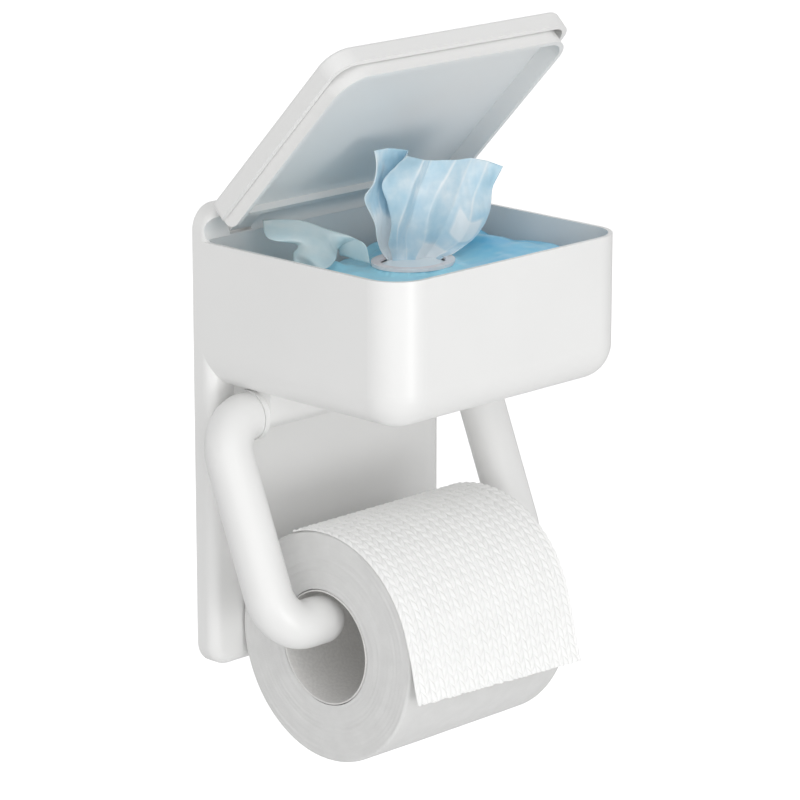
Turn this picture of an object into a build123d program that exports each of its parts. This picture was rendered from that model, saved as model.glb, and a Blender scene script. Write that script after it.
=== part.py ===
# Wall-mounted toilet paper holder: a plate with an open tub for moist wipes under a hinged lid, and
# two sprung arms below it that hold the roll. Millimetres. The wall is the plane y = 0, the front
# faces -Y, +Z is up, and the origin is the middle of the wall screws at the plate's back.
from build123d import *
from math import cos, radians, sin
import os

os.makedirs("parts", exist_ok=True)

# Wall plate
WIDTH = 142.0
PLATE_HEIGHT = 206.0
PLATE_DEPTH = 10.5
PLATE_CORNER = 11.0
PLATE_EDGE = 5.0
SKIN = 2.5
RIB = 1.8
LOWER_POCKET_DEPTH = 8.0
UPPER_POCKET_DEPTH = 5.4
POCKET_SPLIT_Z = 4.0
POCKET_CORNER = 8.0

# Tub
RIM_Z = 88.0
TUB_FRONT = -122.3
TUB_BOTTOM = 23.5
TUB_WALL = 2.0
TUB_BACK = -8.0
TUB_CORNER = 17.0
TUB_BOTTOM_EDGE = 16.0

# Trough in the plate, just above the rim, that the lid's rear end swings in
TROUGH_RADIUS = 6.9
TROUGH_Y = -14.0
TROUGH_RISE = 5.0

# Lid, in its own axes from the hinge line: y towards the wall and z up when it is shut
HINGE_Y = -5.2
HINGE_Z = 94.0
LID_OPEN = 46.3
LID_HALF_WIDTH = 70.8
LID_REAR = -11.0
LID_FRONT = -117.1
LID_TOP = 2.6
LID_BAND = 8.3
LID_CORNER = 11.0
LID_REAR_CORNER = 4.0
LID_SKIN = 2.2
LID_SKIRT = 2.5
LID_TOP_EDGE = 1.6
LIP_DROP = 5.7
LIP_WALL = 2.2
LIP_HALF_WIDTH = 68.0
LIP_REAR = -11.3
LIP_FRONT = -114.0
LIP_CORNER = 13.5
LIP_REAR_EDGE = 5.0
PANEL_THICKNESS = 3.0
EAR_X = 50.0
EAR_WIDTH = 12.0
EAR_RADIUS = 4.0
EAR_GAP = 0.3
HINGE_BLOCK_LENGTH = 32.0
HINGE_BLOCK_DROP = 2.0
PIN_RADIUS = 1.25
PIN_LENGTH = 30.0
PIN_ENTRY = 2.0
BUSH_OUTER = 2.3
RUNNING = 0.05

# Arms and what carries them
ARM_Y = -22.3
ARM_Z = 12.6
ARM_TIP_Y = -57.5
ARM_TIP_Z = -73.0
ARM_X = 76.8
ARM_RADIUS = 10.5
ARM_BEND = 16.5
ARM_TIP_X = 42.0
ARM_TIP_EDGE = 10.0
ARM_ROOT_X = 60.2
BLOCK_HALF_LENGTH = 57.5
BLOCK_FRONT = -33.5
BLOCK_BOTTOM = 6.0
BLOCK_EDGE = 9.0
BLOCK_BORE = 5.0
COLLAR_RADIUS = 11.0
COLLAR_OUT = 60.0
COLLAR_IN = 52.0
SHAFT_RADIUS = 2.5
SHAFT_IN = 4.0
SHAFT_OUT = 74.0
CLIP_IN = 27.0
CLIP_WIDTH = 1.2
CLIP_RADIUS = 4.4
SPRING_WIRE = 0.8
SPRING_RADIUS = 3.6
SPRING_TURNS = 8
SPRING_CLEAR = 0.1
SLEEVE_HALF_LENGTH = 26.0
SLEEVE_RADIUS = 4.93
SWING_RANGE = 42.0
STOP_X = 8.0
STOP_PIN_RADIUS = 1.0
STOP_PIN_END = 3.3
STOP_SLOT_FLOOR = 3.1
STOP_SLOT_WIDTH = 2.6
STOP_SLOT_MARGIN = 20.0
BLOCK_SCREW_X = (-46.0, -18.0, 18.0, 46.0)
BLOCK_SCREW_Z = 20.4
SCREW_RADIUS = 1.4
SCREW_HEAD_RADIUS = 2.9
SCREW_HEAD_HEIGHT = 1.5
SCREW_END = -25.0

# Roll, pushed a little to the left on the arms' tips
ROLL_X = -4.5
ROLL_Y = -62.4
ROLL_Z = -84.0
ROLL_WIDTH = 100.0
ROLL_RADIUS = 51.2
CORE_OUTER = 25.6
CORE_INNER = 24.4
TAIL_GAP = 0.3
TAIL_THICKNESS = 0.4
TAIL_WRAP = 112.0
TAIL_DROP_LEFT = 12.5
TAIL_DROP_RIGHT = 16.5

# Wall bracket and its fixings
BRACKET_WIDTH = 92.0
BRACKET_TOP = 59.0
BRACKET_BOTTOM = -92.0
BRACKET_THICKNESS = 3.2
BRACKET_CORNER = 5.0
TAB_HEIGHT = 5.0
TAB_WIDTH = 20.0
TAB_FRONT = -7.6
WALL_SCREW_SPACING = 80.0
WALL_SCREW_HOLE = 2.5
WALL_SCREW_SINK = 4.6
LOCK_SCREW_RADIUS = 2.0
LOCK_SCREW_CLEAR = 0.1
LOCK_SCREW_Y = -4.6
LOCK_SCREW_LOW = -102.0
LOCK_SCREW_HIGH = -85.0
LOCK_SOCKET_RADIUS = 1.1
LOCK_SOCKET_DEPTH = 2.5
LOCK_BOSS_TOP = -93.5
LOCK_BOSS_WIDTH = 10.0
RIB_X = 51.0
RIB_Z = -60.0
RIB_BACK = -3.6
PAD_X = 60.0
PAD_LOW_Z = -92.0
PAD_HIGH_Z = 76.0
PAD_RADIUS = 5.0
PAD_BOSS_RADIUS = 6.2
PAD_THICKNESS = 1.6

# Wipes in their pouch
POUCH_LEFT = -60.0
POUCH_RIGHT = 63.0
POUCH_FRONT = -115.0
POUCH_REAR = -16.0
POUCH_BOTTOM = 27.0
POUCH_TOP = 77.5
POUCH_EDGE = 7.0
FILM = 0.8
MOUTH_X = -4.0
MOUTH_Y = -66.0
MOUTH_RADII = (15.0, 13.0)
RING_RADII = (19.0, 17.0)
RING_HEIGHT = 1.4
STACK_GAP = 0.6
STACK_TOP = 68.5
FLAP_THICKNESS = 0.5
FLAP_ROOT = (-24.5, 77.9)
FLAP_MIDDLE = (-42.0, 79.6)
FLAP_END = (-61.0, 85.6)
FLAP_FRONT = -62.0
FLAP_REAR = -34.0
WIPE_THICKNESS = 0.9
WIPE_FOLDS = 7

HALF_WIDTH = WIDTH / 2
HALF_HEIGHT = PLATE_HEIGHT / 2
PLATE_FRONT = -PLATE_DEPTH
SIDES = {"left": -1, "right": 1}
LID_PLANE = Plane(
    origin=(0, HINGE_Y, HINGE_Z),
    x_dir=(1, 0, 0),
    z_dir=(0, sin(radians(LID_OPEN)), cos(radians(LID_OPEN))),
)


def block(low, high, mode=Mode.ADD):
    """Add or cut a block between its lowest and highest corners."""
    size = [b - a for a, b in zip(low, high)]
    middle = [(a + b) / 2 for a, b in zip(low, high)]
    with Locations(tuple(middle)):
        Box(*size, mode=mode)


def bar(start, end, radius, y=ARM_Y, z=ARM_Z, mode=Mode.ADD):
    """Add or cut a round bar along X between two places on it."""
    with Locations(((start + end) / 2, y, z)):
        Cylinder(radius, abs(end - start), rotation=(0, 90, 0), mode=mode)


def write(solid, name):
    """Label a finished piece and save it."""
    solid.label = name
    export_step(solid, f"parts/{name}.step")


# Plate: a rounded slab with softened front edges
with BuildPart() as plate:
    with BuildSketch(Plane.XZ):
        RectangleRounded(WIDTH, PLATE_HEIGHT, PLATE_CORNER)
    extrude(amount=PLATE_DEPTH)
    fillet(plate.edges().group_by(Axis.Y)[0], PLATE_EDGE)

# Tub outside: round front corners and a round bottom edge
with BuildPart() as tub_outside:
    with BuildSketch(Plane.XY.offset(TUB_BOTTOM)) as footprint:
        with Locations((0, (TUB_FRONT - RUNNING) / 2)):
            Rectangle(WIDTH, -TUB_FRONT - RUNNING)
        fillet(footprint.vertices().group_by(Axis.Y)[0], TUB_CORNER)
    extrude(amount=RIM_Z - TUB_BOTTOM)
    bottom = tub_outside.edges().group_by(Axis.Z)[0]
    fillet(bottom.sort_by(Axis.Y)[:-1], TUB_BOTTOM_EDGE)

# Tub inside: the same form, one wall thickness in
with BuildPart() as tub_inside:
    with BuildSketch(Plane.XY.offset(TUB_BOTTOM + TUB_WALL)) as floor:
        with Locations((0, (TUB_FRONT + TUB_WALL + TUB_BACK) / 2)):
            Rectangle(WIDTH - 2 * TUB_WALL, TUB_BACK - TUB_FRONT - TUB_WALL)
        fillet(floor.vertices().group_by(Axis.Y)[0], TUB_CORNER - TUB_WALL)
    extrude(amount=RIM_Z + 1 - TUB_BOTTOM - TUB_WALL)
    bottom = tub_inside.edges().group_by(Axis.Z)[0]
    fillet(bottom.sort_by(Axis.Y)[:-1], TUB_BOTTOM_EDGE - TUB_WALL)

# Housing: plate and tub in one moulding, hollow and ribbed behind
with BuildPart() as housing:
    add(plate.part)
    add(tub_outside.part)
    add(tub_inside.part, mode=Mode.SUBTRACT)
    with BuildSketch(Plane.YZ):
        with Locations((TROUGH_Y, RIM_Z + TROUGH_RISE)):
            Circle(TROUGH_RADIUS)
        with Locations((TROUGH_Y, RIM_Z + 2 * TROUGH_RADIUS)):
            Rectangle(2 * TROUGH_RADIUS, 4 * TROUGH_RADIUS, mode=Mode.INTERSECT)
    extrude(amount=HALF_WIDTH + 1, both=True, mode=Mode.SUBTRACT)

    pocket_half = HALF_WIDTH - SKIN
    pocket_low = SKIN - HALF_HEIGHT
    pocket_high = HALF_HEIGHT - SKIN
    for low, high, depth in (
        (pocket_low, POCKET_SPLIT_Z, LOWER_POCKET_DEPTH),
        (POCKET_SPLIT_Z - 2 * POCKET_CORNER, pocket_high, UPPER_POCKET_DEPTH),
    ):
        with BuildSketch(Plane.XZ):
            with Locations((0, (low + high) / 2)):
                RectangleRounded(2 * pocket_half, high - low, POCKET_CORNER)
        extrude(amount=depth, mode=Mode.SUBTRACT)

    for x in (-RIB_X, RIB_X):
        block((x - RIB / 2, PLATE_FRONT + SKIN, pocket_low), (x + RIB / 2, 0, POCKET_SPLIT_Z))
        block((x - RIB / 2, -UPPER_POCKET_DEPTH, POCKET_SPLIT_Z), (x + RIB / 2, 0, pocket_high))
    block((-pocket_half, -UPPER_POCKET_DEPTH, BRACKET_TOP), (pocket_half, 0, BRACKET_TOP + RIB))
    block((-pocket_half, -LOWER_POCKET_DEPTH, RIB_Z), (pocket_half, RIB_BACK, RIB_Z + RIB))
    for x in (-PAD_X, PAD_X):
        for z in (PAD_LOW_Z, PAD_HIGH_Z):
            depth = LOWER_POCKET_DEPTH if z < POCKET_SPLIT_Z else UPPER_POCKET_DEPTH
            with BuildSketch(Plane.XZ.offset(PAD_THICKNESS)):
                with Locations((x, z)):
                    Circle(PAD_BOSS_RADIUS)
            extrude(amount=depth - PAD_THICKNESS)

    for x in (-EAR_X, EAR_X):
        half = HINGE_BLOCK_LENGTH / 2
        block((x - half, -UPPER_POCKET_DEPTH, RIM_Z - HINGE_BLOCK_DROP), (x + half, -RUNNING, pocket_high))
        slot = EAR_WIDTH / 2 + EAR_GAP
        slot_floor = HINGE_Z - EAR_RADIUS - 2 * EAR_GAP
        block((x - slot, TROUGH_Y, slot_floor), (x + slot, 1, HALF_HEIGHT + 1), Mode.SUBTRACT)
        side = 1 if x > 0 else -1
        hole_in = x - side * (PIN_LENGTH / 2 + PIN_ENTRY)
        hole_out = x + side * PIN_LENGTH / 2
        bar(hole_in, hole_out, PIN_RADIUS, HINGE_Y, HINGE_Z, Mode.SUBTRACT)

    for x in BLOCK_SCREW_X:
        with Locations(Plane(origin=(x, -UPPER_POCKET_DEPTH, BLOCK_SCREW_Z), z_dir=(0, 1, 0))):
            Hole(SCREW_RADIUS, PLATE_DEPTH)
    half = LOCK_BOSS_WIDTH / 2
    block((-half, -LOWER_POCKET_DEPTH, pocket_low), (half, -RUNNING, LOCK_BOSS_TOP))
    with Locations((0, LOCK_SCREW_Y, LOCK_BOSS_TOP)):
        Hole(LOCK_SCREW_RADIUS + LOCK_SCREW_CLEAR, HALF_HEIGHT + LOCK_BOSS_TOP + 1)
write(housing.part, "housing")

# Wall bracket: a flat plate that the housing's upper rib hangs on, with a tab for the lock screw
with BuildPart() as wall_bracket:
    with BuildSketch(Plane.XZ):
        with Locations((0, (BRACKET_TOP + BRACKET_BOTTOM) / 2)):
            RectangleRounded(BRACKET_WIDTH, BRACKET_TOP - BRACKET_BOTTOM, BRACKET_CORNER)
    extrude(amount=BRACKET_THICKNESS)
    block((-TAB_WIDTH / 2, TAB_FRONT, BRACKET_BOTTOM), (TAB_WIDTH / 2, 0, BRACKET_BOTTOM + TAB_HEIGHT))
    for z in (-WALL_SCREW_SPACING / 2, WALL_SCREW_SPACING / 2):
        with Locations(Plane(origin=(0, -BRACKET_THICKNESS, z), z_dir=(0, -1, 0))):
            CounterSinkHole(WALL_SCREW_HOLE, WALL_SCREW_SINK, BRACKET_THICKNESS)
    with Locations((0, LOCK_SCREW_Y, BRACKET_BOTTOM + TAB_HEIGHT)):
        Hole(LOCK_SCREW_RADIUS, TAB_HEIGHT)
write(wall_bracket.part, "wall_bracket")

# Lock screw: a socket set screw through the plate's bottom edge
with BuildPart() as lock_screw:
    with BuildSketch(Plane.XY.offset(LOCK_SCREW_LOW)):
        with Locations((0, LOCK_SCREW_Y)):
            Circle(LOCK_SCREW_RADIUS)
    extrude(amount=LOCK_SCREW_HIGH - LOCK_SCREW_LOW)
    with BuildSketch(Plane.XY.offset(LOCK_SCREW_LOW)):
        with Locations((0, LOCK_SCREW_Y)):
            RegularPolygon(LOCK_SOCKET_RADIUS, 6)
    extrude(amount=LOCK_SOCKET_DEPTH, mode=Mode.SUBTRACT)
write(lock_screw.part, "lock_screw")

# Wall pads: four soft discs that keep the plate off the wall
with BuildPart() as wall_pads:
    with BuildSketch(Plane.XZ):
        with Locations(*[(x, z) for x in (-PAD_X, PAD_X) for z in (PAD_LOW_Z, PAD_HIGH_Z)]):
            Circle(PAD_RADIUS)
    extrude(amount=PAD_THICKNESS)
write(wall_pads.part, "wall_pads")

# Arm block: a bar along the tub's underside, bored from end to end for the shafts
with BuildPart() as arm_block:
    block((-BLOCK_HALF_LENGTH, BLOCK_FRONT, BLOCK_BOTTOM), (BLOCK_HALF_LENGTH, PLATE_FRONT, TUB_BOTTOM))
    low_front = arm_block.edges().filter_by(Axis.X).sort_by(lambda edge: edge.center().Y + edge.center().Z)[0]
    fillet(low_front, BLOCK_EDGE)
    bar(-BLOCK_HALF_LENGTH, BLOCK_HALF_LENGTH, BLOCK_BORE, mode=Mode.SUBTRACT)
    for x in BLOCK_SCREW_X:
        with Locations(Plane(origin=(x, PLATE_FRONT, BLOCK_SCREW_Z), z_dir=(0, 1, 0))):
            Hole(SCREW_RADIUS, PLATE_FRONT - SCREW_END)
    with Locations((STOP_X, ARM_Y, TUB_BOTTOM)):
        Hole(STOP_PIN_RADIUS, TUB_BOTTOM - ARM_Z)
write(arm_block.part, "arm_block")

# Block screws: pan heads in the plate's hollow, ends in the arm block
with BuildPart() as block_screws:
    for x in BLOCK_SCREW_X:
        with BuildSketch(Plane.XZ.offset(-SCREW_END)):
            with Locations((x, BLOCK_SCREW_Z)):
                Circle(SCREW_RADIUS)
        extrude(amount=SCREW_END + UPPER_POCKET_DEPTH)
        with BuildSketch(Plane.XZ.offset(UPPER_POCKET_DEPTH)):
            with Locations((x, BLOCK_SCREW_Z)):
                Circle(SCREW_HEAD_RADIUS)
        extrude(amount=-SCREW_HEAD_HEIGHT)
write(block_screws.part, "block_screws")

# Hinge pins: two steel pins held in the plate's hinge blocks
with BuildPart() as hinge_pins:
    for x in (-EAR_X, EAR_X):
        bar(x - PIN_LENGTH / 2, x + PIN_LENGTH / 2, PIN_RADIUS, HINGE_Y, HINGE_Z)
write(hinge_pins.part, "hinge_pins")

# Stop pin: stands in the coupling sleeve's slot and ends the arms' swing
with BuildPart() as stop_pin:
    with BuildSketch(Plane.XY.offset(ARM_Z + STOP_PIN_END)):
        with Locations((STOP_X, ARM_Y)):
            Circle(STOP_PIN_RADIUS)
    extrude(amount=TUB_BOTTOM - ARM_Z - STOP_PIN_END)
write(stop_pin.part, "stop_pin")

# Coupling sleeve: turns both shafts together, with a slot as long as the swing
with BuildPart() as coupling_sleeve:
    bar(-SLEEVE_HALF_LENGTH, SLEEVE_HALF_LENGTH, SLEEVE_RADIUS)
    bar(-SLEEVE_HALF_LENGTH, SLEEVE_HALF_LENGTH, SHAFT_RADIUS + RUNNING, mode=Mode.SUBTRACT)
    with BuildSketch(Plane.YZ.offset(STOP_X - STOP_SLOT_WIDTH / 2)):
        with Locations((ARM_Y, ARM_Z)):
            Circle(2 * SLEEVE_RADIUS)
            Circle(STOP_SLOT_FLOOR, mode=Mode.SUBTRACT)
            reach = 4 * SLEEVE_RADIUS
            corners = [(0, 0)]
            for turn in (-STOP_SLOT_MARGIN, SWING_RANGE / 2, SWING_RANGE + STOP_SLOT_MARGIN):
                corners.append((-reach * sin(radians(turn)), reach * cos(radians(turn))))
            Polygon(*corners, align=None, mode=Mode.INTERSECT)
    extrude(amount=STOP_SLOT_WIDTH, mode=Mode.SUBTRACT)
write(coupling_sleeve.part, "coupling_sleeve")

for side, sign in SIDES.items():
    # Collar: the ring at the arm's root, pressed in the arm block's bore
    with BuildPart() as collar:
        bar(sign * BLOCK_HALF_LENGTH, sign * COLLAR_OUT, COLLAR_RADIUS)
        bar(sign * COLLAR_IN, sign * BLOCK_HALF_LENGTH, BLOCK_BORE)
        bar(sign * COLLAR_IN, sign * COLLAR_OUT, SHAFT_RADIUS + RUNNING, mode=Mode.SUBTRACT)
    write(collar.part, f"{side}_collar")

    # Arm: a round bar, bent out of the block, down and forward, and back in to the roll
    with BuildPart() as arm:
        with BuildLine() as arm_path:
            FilletPolyline(
                (sign * ARM_ROOT_X, ARM_Y, ARM_Z),
                (sign * ARM_X, ARM_Y, ARM_Z),
                (sign * ARM_X, ARM_TIP_Y, ARM_TIP_Z),
                (sign * ARM_TIP_X, ARM_TIP_Y, ARM_TIP_Z),
                radius=ARM_BEND,
            )
        with BuildSketch(Plane(origin=(sign * ARM_ROOT_X, ARM_Y, ARM_Z), z_dir=(sign, 0, 0))):
            Circle(ARM_RADIUS)
        sweep()
        tip = arm.edges().sort_by(lambda edge: abs(edge.center().X))[0]
        fillet(tip, ARM_TIP_EDGE)
        bar(sign * ARM_ROOT_X, sign * SHAFT_OUT, SHAFT_RADIUS, mode=Mode.SUBTRACT)
    write(arm.part, f"{side}_arm")

    # Shaft: steel, fixed in the arm's root
    with BuildPart() as shaft:
        bar(sign * SHAFT_IN, sign * SHAFT_OUT, SHAFT_RADIUS)
    write(shaft.part, f"{side}_shaft")

    # Clip: holds the spring's inner end on the shaft
    with BuildPart() as clip:
        bar(sign * CLIP_IN, sign * (CLIP_IN + CLIP_WIDTH), CLIP_RADIUS)
        bar(sign * CLIP_IN, sign * (CLIP_IN + CLIP_WIDTH), SHAFT_RADIUS, mode=Mode.SUBTRACT)
    write(clip.part, f"{side}_clip")

    # Spring: half turns of wire between the clip and the collar, squeezed as the arm is pulled out
    with BuildPart() as spring:
        spring_in = CLIP_IN + CLIP_WIDTH + SPRING_CLEAR + SPRING_WIRE / 2
        spring_out = COLLAR_IN - SPRING_CLEAR - SPRING_WIRE / 2
        half_pitch = (spring_out - spring_in) / (2 * SPRING_TURNS)
        with BuildLine() as coil:
            for k in range(2 * SPRING_TURNS):
                up = 1 if k % 2 == 0 else -1
                start = sign * (spring_in + k * half_pitch)
                middle = start + sign * half_pitch / 2
                end = start + sign * half_pitch
                ThreePointArc(
                    (start, ARM_Y - up * SPRING_RADIUS, ARM_Z),
                    (middle, ARM_Y, ARM_Z + up * (SPRING_RADIUS**2 + half_pitch**2 / 4) ** 0.5),
                    (end, ARM_Y + up * SPRING_RADIUS, ARM_Z),
                )
        with BuildSketch(Plane(origin=coil.line @ 0, z_dir=coil.line % 0)):
            Circle(SPRING_WIRE / 2)
        sweep()
    write(spring.part, f"{side}_spring")

# Lid shell: top and edge band, with two ears behind for the hinge
LID_DEPTH = LID_REAR - LID_FRONT
LID_MIDDLE = (LID_REAR + LID_FRONT) / 2
with BuildPart() as lid_shell:
    with BuildSketch(LID_PLANE.offset(LID_TOP - LID_BAND)) as outline:
        with Locations((0, LID_MIDDLE)):
            Rectangle(2 * LID_HALF_WIDTH, LID_DEPTH)
        fillet(outline.vertices().group_by(Axis.Y)[0], LID_CORNER)
        fillet(outline.vertices().group_by(Axis.Y)[-1], LID_REAR_CORNER)
    extrude(amount=LID_BAND)
    lid_up = Axis((0, 0, 0), LID_PLANE.z_dir)
    fillet(lid_shell.faces().sort_by(lid_up)[-1].edges(), LID_TOP_EDGE)
    with BuildSketch(LID_PLANE.offset(LID_TOP - LID_BAND)) as hollow:
        with Locations((0, LID_MIDDLE)):
            Rectangle(2 * (LID_HALF_WIDTH - LID_SKIRT), LID_DEPTH - 2 * LID_SKIRT)
        fillet(hollow.vertices().group_by(Axis.Y)[0], LID_CORNER - LID_SKIRT)
    extrude(amount=LID_BAND - LID_SKIN, mode=Mode.SUBTRACT)
    for x in (-EAR_X, EAR_X):
        ear_start = (x - EAR_WIDTH / 2, HINGE_Y, HINGE_Z)
        with BuildSketch(Plane(origin=ear_start, x_dir=LID_PLANE.y_dir, z_dir=(1, 0, 0))):
            Circle(EAR_RADIUS)
            Polygon(
                (LID_REAR - LID_SKIRT / 2, LID_TOP - LID_SKIN),
                (LID_REAR - LID_SKIRT / 2, -EAR_RADIUS),
                (0, -EAR_RADIUS),
                (0, EAR_RADIUS),
                (LID_REAR, LID_TOP - LID_TOP_EDGE / 2),
                align=None,
            )
            Circle(BUSH_OUTER, mode=Mode.SUBTRACT)
        extrude(amount=EAR_WIDTH)
write(lid_shell.part, "lid_shell")

# Ear bushes: pressed in the ears, they turn on the hinge pins
with BuildPart() as ear_bushes:
    for x in (-EAR_X, EAR_X):
        bar(x - EAR_WIDTH / 2, x + EAR_WIDTH / 2, BUSH_OUTER, HINGE_Y, HINGE_Z)
        bar(x - EAR_WIDTH / 2, x + EAR_WIDTH / 2, PIN_RADIUS + RUNNING, HINGE_Y, HINGE_Z, Mode.SUBTRACT)
write(ear_bushes.part, "ear_bushes")

# Lid liner: a recessed panel with a lip at the front and sides that drops inside the tub's rim
LIP_TOP = LID_TOP - LID_BAND
LIP_BOTTOM = LIP_TOP - LIP_DROP
PANEL_TOP = LID_TOP - LID_SKIN
with BuildPart() as lid_liner:
    with BuildSketch(LID_PLANE.offset(LIP_BOTTOM)) as lip:
        with Locations((0, (LIP_REAR + LIP_FRONT) / 2)):
            Rectangle(2 * LIP_HALF_WIDTH, LIP_REAR - LIP_FRONT)
        fillet(lip.vertices().group_by(Axis.Y)[0], LIP_CORNER)
    extrude(amount=LIP_DROP)
    lip_floor = lid_liner.faces().sort_by(lid_up)[0]
    fillet(lip_floor.edges().filter_by(Axis.X).sort_by(Axis.Y)[-1], LIP_REAR_EDGE)
    with BuildSketch(LID_PLANE.offset(LIP_TOP)) as upper:
        with Locations((0, (LID_REAR - LID_SKIRT + LIP_FRONT) / 2)):
            Rectangle(2 * LIP_HALF_WIDTH, LID_REAR - LID_SKIRT - LIP_FRONT)
        fillet(upper.vertices().group_by(Axis.Y)[0], LIP_CORNER)
    extrude(amount=PANEL_TOP - LIP_TOP)
    with BuildSketch(LID_PLANE.offset(LIP_BOTTOM)) as recess:
        with Locations((0, (LIP_FRONT + LIP_WALL) / 2)):
            Rectangle(2 * (LIP_HALF_WIDTH - LIP_WALL), -LIP_FRONT - LIP_WALL)
        fillet(recess.vertices().group_by(Axis.Y)[0], LIP_CORNER - LIP_WALL)
    extrude(amount=PANEL_TOP - PANEL_THICKNESS - LIP_BOTTOM, mode=Mode.SUBTRACT)
write(lid_liner.part, "lid_liner")

# Pouch of wipes: film round the stack, open at the mouth
with BuildPart() as wipes_pouch:
    block((POUCH_LEFT, POUCH_FRONT, POUCH_BOTTOM), (POUCH_RIGHT, POUCH_REAR, POUCH_TOP))
    fillet(wipes_pouch.edges(), POUCH_EDGE)
    offset(amount=-FILM, openings=[], kind=Kind.INTERSECTION, mode=Mode.SUBTRACT)
    with BuildSketch(Plane.XY.offset(POUCH_TOP + FILM)):
        with Locations((MOUTH_X, MOUTH_Y)):
            Ellipse(*MOUTH_RADII)
    extrude(amount=-3 * FILM, mode=Mode.SUBTRACT)
write(wipes_pouch.part, "wipes_pouch")

# Opening ring: stiff oval ring round the mouth
with BuildPart() as opening_ring:
    with BuildSketch(Plane.XY.offset(POUCH_TOP)):
        with Locations((MOUTH_X, MOUTH_Y)):
            Ellipse(*RING_RADII)
            Ellipse(*MOUTH_RADII, mode=Mode.SUBTRACT)
    extrude(amount=RING_HEIGHT)
write(opening_ring.part, "opening_ring")

# Wipe stack: folded wipes lying in the pouch
with BuildPart() as wipe_stack:
    inset = FILM + STACK_GAP
    block(
        (POUCH_LEFT + inset, POUCH_FRONT + inset, POUCH_BOTTOM + FILM),
        (POUCH_RIGHT - inset, POUCH_REAR - inset, STACK_TOP),
    )
    fillet(wipe_stack.edges(), POUCH_EDGE)
write(wipe_stack.part, "wipe_stack")

# Label flap: the reseal label, peeled back to the left and curled up
with BuildPart() as label_flap:
    with BuildSketch(Plane.XZ.offset(-FLAP_REAR)):
        with BuildLine():
            curl = ThreePointArc(FLAP_ROOT, FLAP_MIDDLE, FLAP_END)
        trace(line_width=FLAP_THICKNESS)
    extrude(amount=FLAP_REAR - FLAP_FRONT)
write(label_flap.part, "label_flap")


def fold_outline(width, depth):
    """Corners of a thin pleated strip, out along one side of the cloth and back along the other."""
    step = width / (WIPE_FOLDS - 1)
    line = [(k * step - width / 2, depth / 2 * (-1) ** k) for k in range(WIPE_FOLDS)]
    front = [(x, y - WIPE_THICKNESS) for x, y in line]
    back = [(x, y + WIPE_THICKNESS) for x, y in reversed(line)]
    return front + back


# Popped wipe: gathered in the mouth, it fans out upwards in loose pleats
WIPE_SECTIONS = (
    (70.5, -4.0, -66.0, 16.0, 6.0),
    (80.0, -3.0, -66.0, 22.0, 9.0),
    (100.0, 2.0, -68.0, 46.0, 12.0),
    (124.0, 8.0, -70.0, 64.0, 8.0),
)
with BuildPart() as popped_wipe:
    for z, x, y, width, depth in WIPE_SECTIONS:
        with BuildSketch(Plane(origin=(x, y, z), z_dir=(0, 0, 1))):
            Polygon(*fold_outline(width, depth), align=None)
    loft(ruled=True)
write(popped_wipe.part, "popped_wipe")

# Core: the cardboard tube
with BuildPart() as paper_core:
    bar(ROLL_X - ROLL_WIDTH / 2, ROLL_X + ROLL_WIDTH / 2, CORE_OUTER, ROLL_Y, ROLL_Z)
    bar(ROLL_X - ROLL_WIDTH / 2, ROLL_X + ROLL_WIDTH / 2, CORE_INNER, ROLL_Y, ROLL_Z, Mode.SUBTRACT)
write(paper_core.part, "paper_core")

# Roll: the wound paper
with BuildPart() as paper_roll:
    bar(ROLL_X - ROLL_WIDTH / 2, ROLL_X + ROLL_WIDTH / 2, ROLL_RADIUS, ROLL_Y, ROLL_Z)
    bar(ROLL_X - ROLL_WIDTH / 2, ROLL_X + ROLL_WIDTH / 2, CORE_OUTER, ROLL_Y, ROLL_Z, Mode.SUBTRACT)
write(paper_roll.part, "paper_roll")


def round_roll(radius, turn):
    """A place round the roll, turned up from its front, as (y, z)."""
    return (ROLL_Y - radius * cos(radians(turn)), ROLL_Z + radius * sin(radians(turn)))


# Tail sheet: over the roll's top, down its front, then hanging to a torn, slightly slanted edge
tail_inner = ROLL_RADIUS + TAIL_GAP
tail_outer = tail_inner + TAIL_THICKNESS
tail_left = ROLL_X - ROLL_WIDTH / 2
tail_end = ROLL_Z - TAIL_DROP_RIGHT
with BuildPart() as tail_sheet:
    with BuildSketch(Plane.YZ.offset(tail_left)):
        with BuildLine():
            ThreePointArc(*[round_roll(tail_outer, turn) for turn in (TAIL_WRAP, TAIL_WRAP / 2, 0)])
            Line(round_roll(tail_outer, 0), (ROLL_Y - tail_outer, tail_end))
            Line((ROLL_Y - tail_outer, tail_end), (ROLL_Y - tail_inner, tail_end))
            Line((ROLL_Y - tail_inner, tail_end), round_roll(tail_inner, 0))
            ThreePointArc(*[round_roll(tail_inner, turn) for turn in (0, TAIL_WRAP / 2, TAIL_WRAP)])
            Line(round_roll(tail_inner, TAIL_WRAP), round_roll(tail_outer, TAIL_WRAP))
        make_face()
    extrude(amount=ROLL_WIDTH)
    with BuildSketch(Plane.XZ):
        Polygon(
            (tail_left - 1, ROLL_Z - TAIL_DROP_LEFT),
            (tail_left + ROLL_WIDTH + 1, tail_end),
            (tail_left - 1, tail_end - 1),
            align=None,
        )
    extrude(amount=-ROLL_Y + 2 * ROLL_RADIUS, mode=Mode.SUBTRACT)
write(tail_sheet.part, "tail_sheet")
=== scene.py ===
# Looks of a wall-mounted toilet paper holder with a lidded tub of moist wipes. The hard parts keep their
# construction meshes and get moulded, drawn or plated finishes. The film, cloth, card and paper are made
# here. Sizes are millimetres until a mesh is written, which takes metres.
from math import atan, cos, exp, pi, radians, sin

import bpy
from bpy.props import FloatProperty, PointerProperty, StringProperty
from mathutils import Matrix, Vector, noise


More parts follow.
